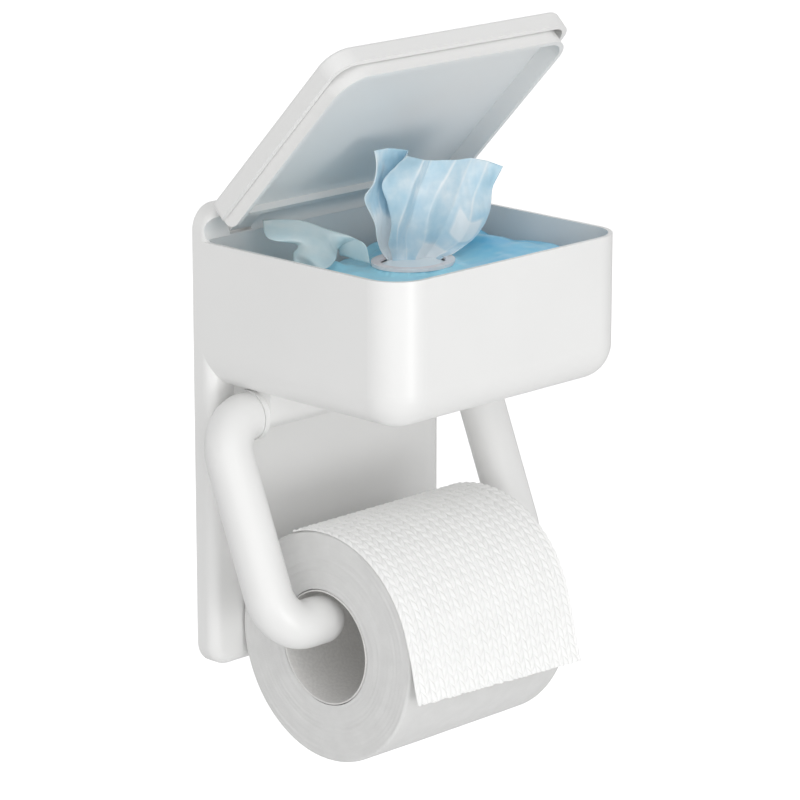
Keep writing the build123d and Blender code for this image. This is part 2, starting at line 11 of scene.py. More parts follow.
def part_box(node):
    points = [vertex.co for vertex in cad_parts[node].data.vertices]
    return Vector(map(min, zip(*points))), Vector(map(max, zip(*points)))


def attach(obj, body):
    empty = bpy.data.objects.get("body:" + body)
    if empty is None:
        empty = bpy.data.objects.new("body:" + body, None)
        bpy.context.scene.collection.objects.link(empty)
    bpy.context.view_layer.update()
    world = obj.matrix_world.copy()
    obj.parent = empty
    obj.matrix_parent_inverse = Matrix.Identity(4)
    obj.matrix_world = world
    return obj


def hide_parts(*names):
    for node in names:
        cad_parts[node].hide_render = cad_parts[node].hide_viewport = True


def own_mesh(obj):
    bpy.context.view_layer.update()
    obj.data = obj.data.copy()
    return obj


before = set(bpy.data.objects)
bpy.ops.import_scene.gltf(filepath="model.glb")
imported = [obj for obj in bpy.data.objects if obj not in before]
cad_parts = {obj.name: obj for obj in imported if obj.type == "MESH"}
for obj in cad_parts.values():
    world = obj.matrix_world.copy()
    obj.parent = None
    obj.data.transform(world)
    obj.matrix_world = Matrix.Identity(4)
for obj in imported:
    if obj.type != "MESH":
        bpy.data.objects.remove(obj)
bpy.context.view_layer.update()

bl_info = {
    "name": "Toilet paper holder",
    "version": (1, 0, 0),
    "blender": (4, 5, 0),
    "location": "View3D > Sidebar > Holder",
    "description": "Dresses a toilet paper holder with a wipes box, and sets up its stage",
    "category": "Object",
}

MM = 0.001
UP = Vector((0, 0, 1))

# Places taken from the frame, in millimetres
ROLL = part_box("paper_roll")
ROLL_LEFT, ROLL_RIGHT = ROLL[0][0] / MM, ROLL[1][0] / MM
ROLL_RADIUS = (ROLL[1][2] - ROLL[0][2]) / 2 / MM
ROLL_Y = (ROLL[0][1] + ROLL[1][1]) / 2 / MM
ROLL_Z = (ROLL[0][2] + ROLL[1][2]) / 2 / MM
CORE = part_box("paper_core")
CORE_RADIUS = (CORE[1][2] - CORE[0][2]) / 2 / MM
POUCH_LOW, POUCH_HIGH = ([value / MM for value in corner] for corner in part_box("wipes_pouch"))
STACK_LOW, STACK_HIGH = ([value / MM for value in corner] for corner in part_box("wipe_stack"))
RING_LOW, RING_HIGH = ([value / MM for value in corner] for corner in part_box("opening_ring"))
# The mouth is the hole in the ring, whose band is this wide
RING_BAND = 3.5
MOUTH_X = (RING_LOW[0] + RING_HIGH[0]) / 2
MOUTH_Y = (RING_LOW[1] + RING_HIGH[1]) / 2
MOUTH_ACROSS = (RING_HIGH[0] - RING_LOW[0]) / 2 - RING_BAND
MOUTH_ALONG = (RING_HIGH[1] - RING_LOW[1]) / 2 - RING_BAND
# The tub's rim lies below the plate's top
RIM_BELOW_TOP = 15
RIM_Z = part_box("housing")[1][2] / MM - RIM_BELOW_TOP


class PlasticSettings(bpy.types.PropertyGroup):
    """Finish of the moulded parts"""

    colour: StringProperty(
        name="Plastic colour", description="Colour of the moulded parts, as an sRGB hex value",
        default="EDEDEC",
    )
    roughness: FloatProperty(
        name="Plastic roughness", description="How satin the mould's surface is", default=0.34, min=0, max=1
    )


class WipesSettings(bpy.types.PropertyGroup):
    """The pouch of wipes and what shows of them"""

    film_colour: StringProperty(
        name="Film colour", description="Colour of the pouch's film, as an sRGB hex value", default="5CBDE8"
    )
    label_colour: StringProperty(
        name="Label colour", description="Colour of the peeled label, as an sRGB hex value", default="D2EBF2"
    )
    wipe_colour: StringProperty(
        name="Wipe colour", description="Colour of the moist cloth, as an sRGB hex value", default="B6D6E8"
    )
    wipe_thickness: FloatProperty(
        name="Wipe thickness", description="Thickness of one wipe", default=0.4 * MM, subtype="DISTANCE",
        unit="LENGTH",
    )


class PaperSettings(bpy.types.PropertyGroup):
    """The roll, its core and the loose sheet"""

    paper_colour: StringProperty(
        name="Paper colour", description="Colour of the tissue, as an sRGB hex value", default="FDFDFC"
    )
    core_colour: StringProperty(
        name="Core colour", description="Colour of the cardboard tube, as an sRGB hex value",
        default="E3E2E0",
    )
    emboss_pitch: FloatProperty(
        name="Emboss pitch", description="Width of one embossed stitch", default=5.8 * MM,
        subtype="DISTANCE", unit="LENGTH",
    )
    emboss_depth: FloatProperty(
        name="Emboss depth", description="Height of the embossing", default=0.8 * MM, subtype="DISTANCE",
        unit="LENGTH",
    )


class StageSettings(bpy.types.PropertyGroup):
    """Light and background"""

    sky: FloatProperty(
        name="Surrounding light", description="Strength of the even light", default=0.57, min=0
    )
    low_power: FloatProperty(
        name="Low light", description="Power of the light from low in front", default=3.0, min=0,
        unit="POWER",
    )
    key_power: FloatProperty(
        name="Key light", description="Power of the large soft light", default=31.0, min=0, unit="POWER"
    )


def linear(hex_colour):
    """An sRGB hex value as linear red, green, blue and full alpha."""
    channels = [int(hex_colour[k:k + 2], 16) / 255 for k in (0, 2, 4)]
    return [c / 12.92 if c <= 0.04045 else ((c + 0.055) / 1.055) ** 2.4 for c in channels] + [1.0]


def add_node(tree, kind, values=None, links=None, **options):
    """Add a node with its options, its inputs' values and its links, each from (node, output)."""
    made = tree.nodes.new(kind)
    for name, value in options.items():
        setattr(made, name, value)
    for name, value in (values or {}).items():
        made.inputs[name].default_value = value
    for name, (source, output) in (links or {}).items():
        tree.links.new(source.outputs[output], made.inputs[name])
    return made


def start_material(name, **surface):
    """A new material with its shader's own values set, its tree, shader and object coordinates."""
    made = bpy.data.materials.new(name)
    made.use_nodes = True
    tree = made.node_tree
    tree.nodes.clear()
    shader = add_node(tree, "ShaderNodeBsdfPrincipled")
    for socket, value in surface.items():
        shader.inputs[socket.replace("_", " ")].default_value = value
    add_node(tree, "ShaderNodeOutputMaterial", links={"Surface": (shader, "BSDF")})
    place = add_node(tree, "ShaderNodeTexCoord")
    return made, tree, shader, place


def per_mm(size):
    """Texture scale whose cell is as wide as a real size in millimetres."""
    return 1 / (size * MM)


def colour_by(tree, shader, source, stops):
    """Colour a shader by a value from (node, output), through stops of (value, sRGB hex colour)."""
    ramp = add_node(tree, "ShaderNodeValToRGB", links={"Fac": source})
    elements = ramp.color_ramp.elements
    while len(elements) < len(stops):
        elements.new(0.5)
    for element, (position, colour) in zip(elements, stops):
        element.position = position
        element.color = linear(colour)
    tree.links.new(ramp.outputs["Color"], shader.inputs["Base Color"])


def mottle(tree, shader, place, light, dark, size):
    """Colour that drifts between two values over patches of a real size."""
    cloud = add_node(
        tree, "ShaderNodeTexNoise", {"Scale": per_mm(size), "Detail": 3.0}, {"Vector": (place, "Object")}
    )
    colour_by(tree, shader, (cloud, "Fac"), ((0.35, dark), (0.65, light)))


def grain(tree, shader, place, size, depth, detail=2.0, stretch=(1, 1, 1)):
    """Fine bumps of a real width and depth in millimetres."""
    shape = add_node(tree, "ShaderNodeMapping", {"Scale": stretch}, {"Vector": (place, "Object")})
    bumps = add_node(
        tree, "ShaderNodeTexNoise", {"Scale": per_mm(size), "Detail": detail}, {"Vector": (shape, "Vector")}
    )
    bump = add_node(
        tree, "ShaderNodeBump", {"Strength": 1.0, "Distance": depth * MM}, {"Height": (bumps, "Fac")}
    )
    tree.links.new(bump.outputs["Normal"], shader.inputs["Normal"])


def satin_abs():
    """Injection-moulded ABS: an even satin sheen with the faint grain of a spark-eroded mould."""
    plastic = bpy.context.scene.holder_plastic
    made, tree, shader, place = start_material(
        "satin_moulded_abs", Roughness=plastic.roughness, IOR=1.53, Metallic=0.0
    )
    mottle(tree, shader, place, plastic.colour, "EBEBEA", size=60)
    # The real grain is about 0.05 mm and too fine to show, so it is drawn at 0.35 mm
    grain(tree, shader, place, size=0.35, depth=0.004)
    return made


def plated_steel():
    """Zinc-plated pressed steel: a cool grey with a soft, slightly blotchy shine."""
    made, tree, shader, place = start_material("zinc_plated_steel", Roughness=0.38, Metallic=1.0)
    mottle(tree, shader, place, "C2C5C8", "B5B9BD", size=4)
    grain(tree, shader, place, size=0.5, depth=0.003)
    return made


def drawn_steel():
    """Drawn steel wire and bar: bright, with fine lines along its length."""
    made, tree, shader, place = start_material("drawn_steel", Roughness=0.24, Metallic=1.0)
    mottle(tree, shader, place, "CFD1D3", "BFC2C5", size=3)
    grain(tree, shader, place, size=0.4, depth=0.003, stretch=(0.1, 1, 1))
    return made


def moulded_nylon():
    """Moulded polyamide: warm off-white with a dull, waxy surface."""
    made, tree, shader, place = start_material("moulded_nylon", Roughness=0.5, IOR=1.53)
    mottle(tree, shader, place, "E9E6DA", "E2DECF", size=6)
    grain(tree, shader, place, size=0.5, depth=0.006)
    return made


def soft_rubber():
    """Moulded rubber: dark grey, matt, with a dusty grain."""
    made, tree, shader, place = start_material("moulded_rubber", Roughness=0.8, IOR=1.52)
    mottle(tree, shader, place, "5C5C5E", "505052", size=2)
    grain(tree, shader, place, size=0.6, depth=0.02)
    return made


def blown_film():
    """Blown polyethylene film: softly shiny, paler near the mouth and deeper blue towards the right, and
    creased.
    """
    made, tree, shader, place = start_material(
        "blown_polyethylene_film", Roughness=0.3, IOR=1.51, Specular_IOR_Level=0.22, Coat_Weight=0.06,
        Coat_Roughness=0.1,
    )
    cloud = add_node(
        tree, "ShaderNodeTexNoise", {"Scale": per_mm(22), "Detail": 3.0}, {"Vector": (place, "Object")}
    )
    parts = add_node(tree, "ShaderNodeSeparateXYZ", links={"Vector": (place, "Object")})
    # The film's colour deepens more and more from the mouth to the right, 60 mm away
    depth = add_node(
        tree, "ShaderNodeMath", {1: -0.5 * per_mm(60)}, {0: (parts, "X"), 2: (cloud, "Fac")},
        operation="MULTIPLY_ADD",
    )
    film_colour = bpy.context.scene.holder_wipes.film_colour
    colour_by(tree, shader, (depth, 0), ((0.05, film_colour), (0.6, "A9E3F6")))
    # Long creases of crumpled film, about 12 mm apart
    shape = add_node(tree, "ShaderNodeMapping", {"Scale": (1, 0.6, 1)}, {"Vector": (place, "Object")})
    creases = add_node(
        tree, "ShaderNodeTexNoise", {"Scale": per_mm(12), "Detail": 2.0, "Distortion": 0.4},
        {"Vector": (shape, "Vector")}, noise_type="RIDGED_MULTIFRACTAL",
    )
    bump = add_node(
        tree, "ShaderNodeBump", {"Strength": 0.8, "Distance": 1.4 * MM}, {"Height": (creases, "Fac")}
    )
    tree.links.new(bump.outputs["Normal"], shader.inputs["Normal"])
    return made


def label_film():
    """Cast polyester label: stiff, pale, part see-through, with glints along its curl."""
    made, tree, shader, place = start_material(
        "cast_polyester_label", Roughness=0.16, IOR=1.57, Alpha=0.82, Coat_Weight=0.3
    )
    mottle(tree, shader, place, "E4F4F7", bpy.context.scene.holder_wipes.label_colour, size=12)
    grain(tree, shader, place, size=7, depth=0.25, detail=1.0)
    return made


def moulded_ring():
    """Moulded polypropylene: milky and softly glossy, with a faintly warm tint."""
    made, tree, shader, place = start_material(
        "moulded_polypropylene", Roughness=0.28, IOR=1.49, Subsurface_Weight=0.3,
        Subsurface_Scale=2 * MM, Subsurface_Radius=(1, 1, 1),
    )
    mottle(tree, shader, place, "EFEBEC", "E6DEE0", size=9)
    grain(tree, shader, place, size=0.6, depth=0.004)
    return made


def spunlace():
    """Spunlaced viscose cloth, moist: soft, pale blue, light comes through it, fibres lie mostly one way."""
    made, tree, shader, place = start_material(
        "spunlaced_viscose", Roughness=0.46, IOR=1.4, Subsurface_Weight=0.45, Subsurface_Scale=1.5 * MM,
        Subsurface_Radius=(1, 1, 1), Sheen_Weight=0.12, Coat_Weight=0.12, Coat_Roughness=0.3,
    )
    # Where the cloth lies doubled it is paler, and a painted highlight makes it paler still there and along
    # its folds;
    # its rear layer is deeper in colour, and painted shade darkens it further
    layers = add_node(tree, "ShaderNodeVertexColor", layer_name="layers")
    cloud = add_node(
        tree, "ShaderNodeTexNoise", {"Scale": per_mm(10), "Detail": 3.0}, {"Vector": (place, "Object")}
    )
    joined = add_node(
        tree, "ShaderNodeMath", links={0: (cloud, "Fac"), 1: (cloud, "Fac"), 2: (layers, "Color")},
        operation="MULTIPLY_ADD",
    )
    wipe_colour = bpy.context.scene.holder_wipes.wipe_colour
    # The ramp's dark end paints shade, and its pale end is partly painted highlight
    colour_by(tree, shader, (joined, 0), ((0.1, "9CC1D4"), (0.35, wipe_colour), (0.95, "EFF7FC")))
    # Jet lines of the cloth are about 0.5 mm apart and too fine to show, so they are drawn at 0.9 mm
    grain(tree, shader, place, size=0.9, depth=0.05, detail=4.0, stretch=(1, 1, 0.35))
    return made


def card():
    """Spiral-wound grey board: dull, flecked with short fibres."""
    made, tree, shader, place = start_material("wound_grey_board", Roughness=0.92, IOR=1.47)
    mottle(tree, shader, place, bpy.context.scene.holder_paper.core_colour, "DAD9D7", size=1.2)
    grain(tree, shader, place, size=0.8, depth=0.05, detail=4.0, stretch=(0.3, 1, 1))
    return made


def tissue(name, light, dark):
    """Creped tissue: matt bright white with fine crepe lines across the web."""
    made, tree, shader, place = start_material(
        name, Roughness=0.95, IOR=1.47, Sheen_Weight=0.15, Subsurface_Weight=0.2,
        Subsurface_Scale=1.0 * MM, Subsurface_Radius=(1, 1, 1),
    )
    mottle(tree, shader, place, light, dark, size=7)
    grain(tree, shader, place, size=0.8, depth=0.07, detail=4.0, stretch=(0.4, 1, 1))
    return made


def write_mesh(name, points, faces, material, body):
    """A new smooth piece from points in millimetres, finished with a material and riding on a body."""
    mesh = bpy.data.meshes.new(name)
    mesh.from_pydata([Vector(point) * MM for point in points], [], faces)
    mesh.validate()
    mesh.shade_smooth()
    piece = bpy.data.objects.new(name, mesh)
    bpy.context.scene.collection.objects.link(piece)
    mesh.materials.append(material)
    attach(piece, body)
    return piece


def grid_faces(across, along, closed=False):
    """Faces of a grid of points stored row by row, its rows closed to rings if asked."""
    faces = []
    for row in range(along - 1):
        here, beyond = row * across, (row + 1) * across
        for k in range(across if closed else across - 1):
            after = (k + 1) % across
            faces.append((here + k, here + after, beyond + after, beyond + k))
    return faces


def last_ring(across, along):
    """The face that closes the last ring of a grid."""
    return tuple((along - 1) * across + k for k in range(across))


def apply_modifier(piece, modifier):
    """Make a modifier part of the mesh."""
    bpy.context.view_layer.objects.active = piece
    with bpy.context.temp_override(object=piece, active_object=piece, selected_objects=[piece]):
        bpy.ops.object.modifier_apply(modifier=modifier.name)


def reshape(piece, kind, **options):
    """Add a modifier with its options and make it part of the mesh."""
    modifier = piece.modifiers.new(kind.lower(), kind)
    for name, value in options.items():
        setattr(modifier, name, value)
    apply_modifier(piece, modifier)


def paint_paleness_and_light(piece, shades):
    """Store how pale the cloth is at each point, from 0 to 1, with any painted highlight and shade, where its
    material looks for it.
    """
    # The attribute is named layers, but on the popped wipe it also carries painted highlight and shade
    pale = piece.data.color_attributes.new("layers", "FLOAT_COLOR", "POINT")
    for value, shade in zip(pale.data, shades):
        value.color = (shade, shade, shade, 1)


def between(points, share):
    """Place on a smooth curve through the points, at a share of the way from the first to the last."""
    spans = len(points) - 1
    k = min(int(share * spans), spans - 1)
    t = share * spans - k
    p1, p2 = Vector(points[k]), Vector(points[k + 1])
    p0 = Vector(points[k - 1]) if k > 0 else 2 * p1 - p2
    p3 = Vector(points[k + 2]) if k + 2 < len(points) else 2 * p2 - p1
    squared = 2 * p0 - 5 * p1 + 4 * p2 - p3
    cubed = 3 * (p1 - p2) + p3 - p0
    return 0.5 * (2 * p1 + (p2 - p0) * t + squared * t * t + cubed * t**3)


def patch(columns, across, along, softness=1.0):
    """Points of a surface through columns of points, row by row: folded at each column, or smooth at 1."""
    points = []
    for j in range(along):
        row = [between(column, j / (along - 1)) for column in columns]
        for k in range(across):
            share = k / (across - 1)
            place = share * (len(row) - 1)
            span = min(int(place), len(row) - 2)
            folded = row[span].lerp(row[span + 1], place - span)
            points.append(folded.lerp(between(row, share), softness))
    return points


def smooth_step(value, start, end):
    """Zero before start, one after end, and a soft ramp between them."""
    t = min(max((value - start) / (end - start), 0), 1)
    return t * t * (3 - 2 * t)


def band(value, start, full, ebb, end):
    """One from full to ebb, zero before start and after end, with soft ramps between them."""
    return smooth_step(value, start, full) * (1 - smooth_step(value, ebb, end))


def squareness(turn, power):
    """Reach of a rounded square of half-width 1 in a direction, the squarer the higher the power."""
    return (abs(cos(turn)) ** power + abs(sin(turn)) ** power) ** (-1 / power)


class HOLDER_OT_hard_parts(bpy.types.Operator):
    """Finish the moulded plastic, steel, nylon and rubber parts"""

    bl_idname = "holder.hard_parts"
    bl_label = "Hard parts"

    def execute(self, context):
        finishes = (
            (satin_abs(), ("housing", "arm_block", "left_collar", "right_collar", "lid_shell", "lid_liner",
                           "left_arm", "right_arm")),
            (plated_steel(), ("wall_bracket", "lock_screw", "block_screws", "left_clip", "right_clip")),
            (drawn_steel(), ("stop_pin", "hinge_pins", "left_shaft", "right_shaft", "left_spring",
                             "right_spring")),
            (moulded_nylon(), ("ear_bushes", "coupling_sleeve")),
            (soft_rubber(), ("wall_pads",)),
            (moulded_ring(), ("opening_ring",)),
        )
        for finish, names in finishes:
            for name in names:
                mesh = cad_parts[name].data
                mesh.materials.clear()
                mesh.materials.append(finish)
        # Each spring sits between the clip on its shaft and the collar, which stays; here it only gets a mesh
        # of its own
        for side in ("left", "right"):
            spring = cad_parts[side + "_spring"]
            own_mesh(spring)
        return {"FINISHED"}


# Pouch: points round it, and its rows over the top from the mouth, down the side and under to the middle
POUCH_AROUND = 150
POUCH_OVER = 15
POUCH_DOWN = 14
POUCH_UNDER = 8
# Its plain form leaves room to swell inside its box, and its edge is rounded over this much
SWELL_ROOM = 1.5
POUCH_EDGE = 13.0
POUCH_SQUARENESS = 6
POUCH_MIDDLE = [(a + b) / 2 for a, b in zip(POUCH_LOW, POUCH_HIGH)]
POUCH_HALF = [(b - a) / 2 - SWELL_ROOM for a, b in zip(POUCH_LOW, POUCH_HIGH)]
# The film bulges up between the mouth and the edge, with its crest a little nearer to the mouth
BULGE = 2.0
BULGE_CREST = 0.8
# On the right it bulges more and lies higher, rising between two shares of the way to the edge. The
# lower the spread's value, the further round the mouth the right side reaches.
BULGE_RIGHT = 1.5
HIGH_RIGHT = 8.0
HIGH_FROM = 0.1
HIGH_TO = 0.85
RIGHT_SPREAD = 0.7
# The side is full and steep and stays this far inside the form's height. The underside's last ring
# stops short of its middle.
SIDE_FULLNESS = 0.55
SIDE_STEEPNESS = 0.35
SIDE_INSET = 1
UNDER_REACH = 0.97
# The film starts just under the ring and ends a little lower at the edge
FILM_UNDER_RING = 0.2
FILM_FALL = 1.2
# Crumples of the film: their size and height, the level of the noise that stays flat, and the ridged
# noise's dimension, lacunarity, octaves, offset and gain
CRUMPLES = (
    (24, 0.9, 1.2, (1.0, 2.1, 3, 0.9, 2.0)),
    (11, 0.8, 1.0, (0.9, 2.0, 2, 0.8, 2.0)),
)
# The film lies calm round the mouth up to the first of these rows, and is fully crumpled from the second
CALM_ROW = 1
CRUMPLED_ROW = 5
# Film at the side and below lies this far in, so that its crumples clear the tub
SIDE_SLACK = 0.6
# The blown film moves by this much at most, and keeps off its box's faces and the tub's rim
SWELL_LIMIT = 2.6
FILM_GAP = 0.6
FILM_BELOW_RIM = 3.0
FILM_THICKNESS = 0.2
SWELL_FRAMES = 20


def pouch_point(row, turn):
    """Place of the plain film at a row and a turn round the pouch, crumpled but not yet blown up."""
    reach = squareness(turn, POUCH_SQUARENESS)
    centre = Vector((POUCH_MIDDLE[0], POUCH_MIDDLE[1], 0))
    outer_x = POUCH_MIDDLE[0] + POUCH_HALF[0] * reach * cos(turn)
    outer_y = POUCH_MIDDLE[1] + POUCH_HALF[1] * reach * sin(turn)
    outer = Vector((outer_x, outer_y, 0))
    inward = (centre - outer).normalized()
    edge = outer + inward * POUCH_EDGE
    right = max(0.0, cos(turn)) ** RIGHT_SPREAD
    away, slack = -inward, SIDE_SLACK
    if row < POUCH_OVER:
        away, slack = UP, 0.0
        share = row / POUCH_OVER
        mouth = Vector((MOUTH_X + MOUTH_ACROSS * cos(turn), MOUTH_Y + MOUTH_ALONG * sin(turn), 0))
        point = mouth.lerp(edge, share)
        bulge = (BULGE + BULGE_RIGHT * right) * sin(pi * share**BULGE_CREST)
        point.z = RING_LOW[2] - FILM_UNDER_RING + bulge - FILM_FALL * share
        point.z += HIGH_RIGHT * right * smooth_step(share, HIGH_FROM, HIGH_TO)
    elif row < POUCH_OVER + POUCH_DOWN:
        share = (row - POUCH_OVER) / (POUCH_DOWN - 1)
        lift = pi * (0.5 - share)
        side = cos(lift) ** SIDE_FULLNESS if cos(lift) > 0 else 0.0
        point = outer + inward * POUCH_EDGE * (1 - side)
        steep = sin(lift) * (1 + SIDE_STEEPNESS - SIDE_STEEPNESS * abs(sin(lift)))
        point.z = POUCH_MIDDLE[2] + (POUCH_HALF[2] - SIDE_INSET) * max(-1, min(1, steep))
        point.z += HIGH_RIGHT * right * (1 - share) ** 2
    else:
        share = (row - POUCH_OVER - POUCH_DOWN + 1) / POUCH_UNDER
        point = edge.lerp(centre, share * UNDER_REACH)
        point.z = POUCH_MIDDLE[2] - POUCH_HALF[2] + SIDE_INSET
    crumple = 0.0
    for size, height, level, form in CRUMPLES:
        crumple += height * (noise.ridged_multi_fractal(point / size, *form) - level)
    return point + away * (crumple * smooth_step(row, CALM_ROW, CRUMPLED_ROW) - slack)


def blow_up(piece, held):
    """Blow up a closed film by a cloth simulation, with some of its points held, and keep the result."""
    piece.vertex_groups.new(name="held").add(held, 1.0, "REPLACE")
    modifier = piece.modifiers.new("cloth", "CLOTH")
    film = modifier.settings
    film.vertex_group_mass = "held"
    film.quality = 6
    film.mass = 0.1
    film.tension_stiffness = 20
    film.compression_stiffness = 20
    film.shear_stiffness = 8
    film.bending_stiffness = 0.05
    film.shrink_min = -0.07
    film.use_pressure = True
    film.uniform_pressure_force = 4.0
    film.effector_weights.gravity = 0.0
    modifier.collision_settings.use_collision = False
    modifier.point_cache.frame_start = 1
    modifier.point_cache.frame_end = SWELL_FRAMES
    for moment in range(1, SWELL_FRAMES + 1):
        bpy.context.scene.frame_set(moment)
    apply_modifier(piece, modifier)
    bpy.context.scene.frame_set(1)
    piece.vertex_groups.clear()


class HOLDER_OT_wipes_pouch(bpy.types.Operator):
    """Make the pouch of film, open at the mouth, swollen and crumpled"""

    bl_idname = "holder.wipes_pouch"
    bl_label = "Wipes pouch"

    def execute(self, context):
        rows = POUCH_OVER + POUCH_DOWN + POUCH_UNDER
        turns = [2 * pi * (k + 0.5) / POUCH_AROUND for k in range(POUCH_AROUND)]
        points = [pouch_point(row, turn) for row in range(rows) for turn in turns]
        faces = grid_faces(POUCH_AROUND, rows, True) + [last_ring(POUCH_AROUND, rows)]
        piece = write_mesh("film_pouch", points, faces, blown_film(), "housing")
        plain = [vertex.co.copy() for vertex in piece.data.vertices]
        # The first two rings hang on the opening ring
        blow_up(piece, list(range(2 * POUCH_AROUND)))
        low = [value + FILM_GAP for value in POUCH_LOW]
        high = [POUCH_HIGH[0] - FILM_GAP, POUCH_HIGH[1] - FILM_GAP, RIM_Z - FILM_BELOW_RIM]
        for vertex, start in zip(piece.data.vertices, plain):
            move = vertex.co - start
            if move.length > SWELL_LIMIT * MM:
                move *= SWELL_LIMIT * MM / move.length
            place = start + move
            vertex.co = [min(max(value, a * MM), b * MM) for value, a, b in zip(place, low, high)]
        reshape(piece, "SUBSURF", levels=1)
        reshape(piece, "SOLIDIFY", thickness=FILM_THICKNESS * MM, offset=-1.0)
        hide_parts("wipes_pouch")
        return {"FINISHED"}


# Wipe stack: points round it, its wipes, their gap to the stack's box and how pale they are
STACK_AROUND = 120
STACK_LAYERS = 18
STACK_GAP = 4
STACK_SQUARENESS = 5
STACK_PALE = 0.9
# Edge of one wipe: height as a share of its thickness, and how far in it lies
WIPE_EDGE = ((0.0, 1.3), (0.25, 0.3), (0.75, 0.3), (1.0, 1.3))
# No wipe lies just on the next: each is up to this much narrower or wider
WIPE_STRAY = 1.5
# How far in the underside starts, and how far in each ring of the flat top lies
UNDERSIDE_INSET = 40.0
TOP_INSETS = (8, 14, 20, 26)
# The top wipes are drawn up into the mouth: height above the stack, and share of the mouth's size
DRAWN_UP = ((0.2, 1.06), (4.5, 1.03), (8.2, 1.0), (8.8, 0.9), (8.9, 0.4))


class HOLDER_OT_wipe_stack(bpy.types.Operator):
    """Make the folded wipes inside the pouch"""

    bl_idname = "holder.wipe_stack"
    bl_label = "Folded wipes"

    def execute(self, context):
        bottom, top = STACK_LOW[2], STACK_HIGH[2]
        thickness = (top - bottom) / STACK_LAYERS
        sections = [(bottom, UNDERSIDE_INSET)]
        for layer in range(STACK_LAYERS):
            stray = WIPE_STRAY * noise.noise((layer * 0.7, 0, 3))
            for step, inset in WIPE_EDGE:
                sections.append((bottom + (layer + step) * thickness, inset + stray))
        sections += [(top, inset) for inset in TOP_INSETS]
        # Rings of the whole form: place of the centre, half sizes, height and squareness
        middle_x = (STACK_LOW[0] + STACK_HIGH[0]) / 2
        middle_y = (STACK_LOW[1] + STACK_HIGH[1]) / 2
        half_x = (STACK_HIGH[0] - STACK_LOW[0]) / 2 - STACK_GAP
        half_y = (STACK_HIGH[1] - STACK_LOW[1]) / 2 - STACK_GAP
        rings = [
            (middle_x, middle_y, half_x - inset, half_y - inset, z, STACK_SQUARENESS) for z, inset in sections
        ]
        rings += [
            (MOUTH_X, MOUTH_Y, MOUTH_ACROSS * share, MOUTH_ALONG * share, top + lift, 2)
            for lift, share in DRAWN_UP
        ]
        points = []
        for x, y, across, along, z, power in rings:
            for k in range(STACK_AROUND):
                turn = 2 * pi * k / STACK_AROUND
                reach = squareness(turn, power)
                points.append((x + across * cos(turn) * reach, y + along * sin(turn) * reach, z))
        faces = grid_faces(STACK_AROUND, len(rings), True)
        faces.append(tuple(reversed(range(STACK_AROUND))))
        faces.append(last_ring(STACK_AROUND, len(rings)))
        piece = write_mesh("folded_wipes", points, faces, spunlace(), "housing")
        paint_paleness_and_light(piece, [STACK_PALE] * len(points))
        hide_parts("wipe_stack")
        return {"FINISHED"}


# Peeled label, from its front edge to its rear edge. Each column runs from the ring up, over and down to
# the curled end as (x, y, z).
LABEL_COLUMNS = (
    (
        (-22, -58, 79), (-21, -54, 86.5), (-22, -47, 87), (-25, -42, 83.5), (-37, -52, 81.5),
        (-49, -57, 81), (-50, -40, 81.5),
    ),
    (
        (-22, -54, 79), (-21.5, -51, 87), (-23.5, -46, 88.5), (-28, -43, 86), (-38, -48.5, 85.5),
        (-49, -50, 85), (-48, -38, 84.5),
    ),
    (
        (-22, -50, 79), (-22, -47.5, 88), (-25, -44, 89.5), (-30, -42, 89.5), (-38, -44, 89),
        (-44, -42, 88.5), (-45, -37, 87.5),
    ),
    (
        (-22, -45, 79.5), (-23, -43, 88.5), (-27, -40, 91), (-32, -37, 92), (-38, -35, 92),
        (-46, -33, 91.5), (-54, -29, 90.5),
    ),
    (
        (-22, -40, 79.5), (-24, -38, 89), (-29, -34, 92.5), (-33, -29, 94.5), (-36.5, -24, 95),
        (-40.5, -19, 95), (-44, -15, 94.5),
    ),
)
LABEL_ACROSS = 60
LABEL_ALONG = 60
LABEL_THICKNESS = 0.15


class HOLDER_OT_peeled_label(bpy.types.Operator):
    """Make the reseal label, peeled back and curled"""

    bl_idname = "holder.peeled_label"
    bl_label = "Peeled label"

    def execute(self, context):
        points = patch(LABEL_COLUMNS, LABEL_ACROSS, LABEL_ALONG)
        faces = grid_faces(LABEL_ACROSS, LABEL_ALONG)
        piece = write_mesh("peeled_label", points, faces, label_film(), "housing")
        reshape(piece, "SOLIDIFY", thickness=LABEL_THICKNESS * MM, offset=0.0)
        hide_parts("label_flap")
        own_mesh(piece)
        return {"FINISHED"}


